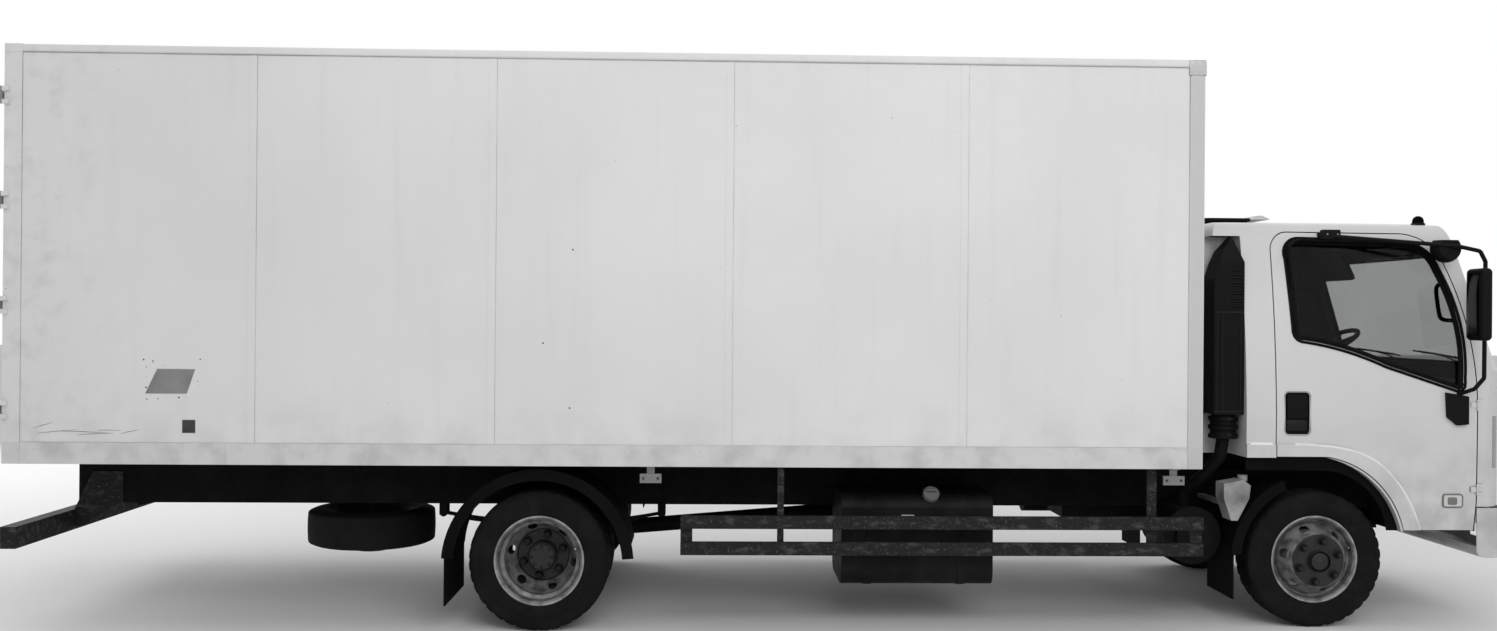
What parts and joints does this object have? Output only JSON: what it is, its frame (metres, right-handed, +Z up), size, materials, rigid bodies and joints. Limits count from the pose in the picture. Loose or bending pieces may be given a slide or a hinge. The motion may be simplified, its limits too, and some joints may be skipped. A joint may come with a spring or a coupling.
{
  "type": "light cab-over box truck",
  "caption": "Light two-axle cab-over truck with a tilting cab and a closed box body with twin rear doors.",
  "frame": {"origin": "on the ground, in the middle of the truck's overall length and width", "axes": "+X forward, +Y to the truck's left, +Z up"},
  "size_m": [8.04, 2.5206, 3.028],
  "materials": {
    "white_paint": "satin white paint, dusty",
    "box_skin": "white coated panel",
    "black_steel": "dull black chassis paint",
    "grey_steel": "worn grey paint",
    "rim_paint": "grey rim paint, dusty",
    "cast": "bare casting, oily",
    "alloy": "mill finish",
    "tyre": "worn rubber",
    "black_plastic": "moulded, matte",
    "grey_plastic": "grained, matte",
    "bottle_plastic": "translucent white, aged",
    "lamp": "clear lens",
    "tail_lamp": "red lens",
    "glass": "clear",
    "fabric": "woven seat cloth",
    "floor": "sealed plywood"
  },
  "bodies": {
    "chassis": {"chassis_frame": "black_steel", "crossmembers": "black_steel", "front_axle": "cast", "rear_axle": "cast", "leaf_springs": "black_steel", "propeller_shaft": "black_steel", "engine_block": "cast", "exhaust": "grey_steel", "fuel_tank": "black_steel", "battery_box": "black_plastic", "air_cleaner": "black_plastic", "coolant_bottle": "bottle_plastic", "side_guards": "grey_steel", "mudguards": "black_plastic", "spare_wheel": "tyre", "underrun_bar": "grey_steel", "lamps": "tail_lamp", "bumper": "white_paint", "box_floor": "box_skin", "box_sides": "box_skin", "box_front_wall": "box_skin", "box_roof": "box_skin", "rear_portal": "box_skin"},
    "steer_right": {"knuckle_right": "cast"},
    "steer_left": {"knuckle_left": "cast"},
    "tie_rod": {"tie_rod": "black_steel"},
    "wheel_front_right": {"rim_front_right": "rim_paint", "tyre_front_right": "tyre"},
    "wheel_front_left": {"rim_front_left": "rim_paint", "tyre_front_left": "tyre"},
    "wheels_rear_right": {"rims_rear_right": "rim_paint", "tyres_rear_right": "tyre"},
    "wheels_rear_left": {"rims_rear_left": "rim_paint", "tyres_rear_left": "tyre"},
    "rear_door_right": {"rear_door_right": "box_skin"},
    "rear_door_left": {"rear_door_left": "box_skin"},
    "cab": {"cab_shell": "white_paint", "cab_glass": "glass", "front_panel": "white_paint", "cab_lamps": "lamp", "arch_liners": "black_plastic", "intake_tower": "black_plastic", "dashboard": "grey_plastic", "seats": "fabric", "roof_hatch": "black_plastic"},
    "steering_wheel": {"steering_wheel": "black_plastic"},
    "cab_door_right": {"cab_door_right": "white_paint", "door_glass_right": "glass", "mirrors_right": "black_plastic"},
    "cab_door_left": {"cab_door_left": "white_paint", "door_glass_left": "glass", "mirrors_left": "black_plastic"}
  },
  "joints": [
    {"name": "steer_right", "type": "hinge", "parent": "chassis", "child": "steer_right", "pos_m": [2.91, -0.715, 0.37], "axis": [0, 0, 1], "range_deg": [-36, 36]},
    {"name": "steer_left", "type": "hinge", "parent": "chassis", "child": "steer_left", "pos_m": [2.91, 0.715, 0.37], "axis": [0, 0, 1], "range_deg": [-36, 36]},
    {"name": "tie_rod_pivot", "type": "hinge", "parent": "steer_right", "child": "tie_rod", "pos_m": [2.75, -0.715, 0.31], "axis": [0, 0, 1], "range_deg": [-36, 36]},
    {"name": "spin_front_right", "type": "hinge", "parent": "steer_right", "child": "wheel_front_right", "pos_m": [2.91, -0.84, 0.37], "axis": [0, 1, 0.0087], "continuous": true},
    {"name": "spin_rear_right", "type": "hinge", "parent": "chassis", "child": "wheels_rear_right", "pos_m": [-1.265, -0.825, 0.37], "axis": [0, 1, 0], "continuous": true},
    {"name": "spin_front_left", "type": "hinge", "parent": "steer_left", "child": "wheel_front_left", "pos_m": [2.91, 0.84, 0.37], "axis": [0, 1, -0.0087], "continuous": true},
    {"name": "spin_rear_left", "type": "hinge", "parent": "chassis", "child": "wheels_rear_left", "pos_m": [-1.265, 0.825, 0.37], "axis": [0, 1, 0], "continuous": true},
    {"name": "cab_tilt", "type": "hinge", "parent": "chassis", "child": "cab", "pos_m": [3.895, 0, 0.835], "axis": [0, 1, 0], "range_deg": [0, 45]},
    {"name": "steering_wheel_turn", "type": "hinge", "parent": "cab", "child": "steering_wheel", "pos_m": [3.61, 0.48, 1.5], "axis": [-0.4695, 0, 0.8829], "range_deg": [-648, 648]},
    {"name": "cab_door_right_swing", "type": "hinge", "parent": "cab", "child": "cab_door_right", "pos_m": [3.761, -1.003, 1], "axis": [0, 0, 1], "range_deg": [0, 65]},
    {"name": "rear_door_right_swing", "type": "hinge", "parent": "chassis", "child": "rear_door_right", "pos_m": [-4.01, -1.17, 1.9], "axis": [0, 0, 1], "range_deg": [0, 265]},
    {"name": "cab_door_left_swing", "type": "hinge", "parent": "cab", "child": "cab_door_left", "pos_m": [3.761, 1.003, 1], "axis": [0, 0, -1], "range_deg": [0, 65]},
    {"name": "rear_door_left_swing", "type": "hinge", "parent": "chassis", "child": "rear_door_left", "pos_m": [-4.01, 1.17, 1.9], "axis": [0, 0, -1], "range_deg": [0, 265]}
  ],
  "couplings": [
    {"joint": "steer_left", "follows": "steer_right", "ratio": 1},
    {"joint": "tie_rod_pivot", "follows": "steer_right", "ratio": -1},
    {"joint": "steering_wheel_turn", "follows": "steer_right", "ratio": 18}
  ]
}
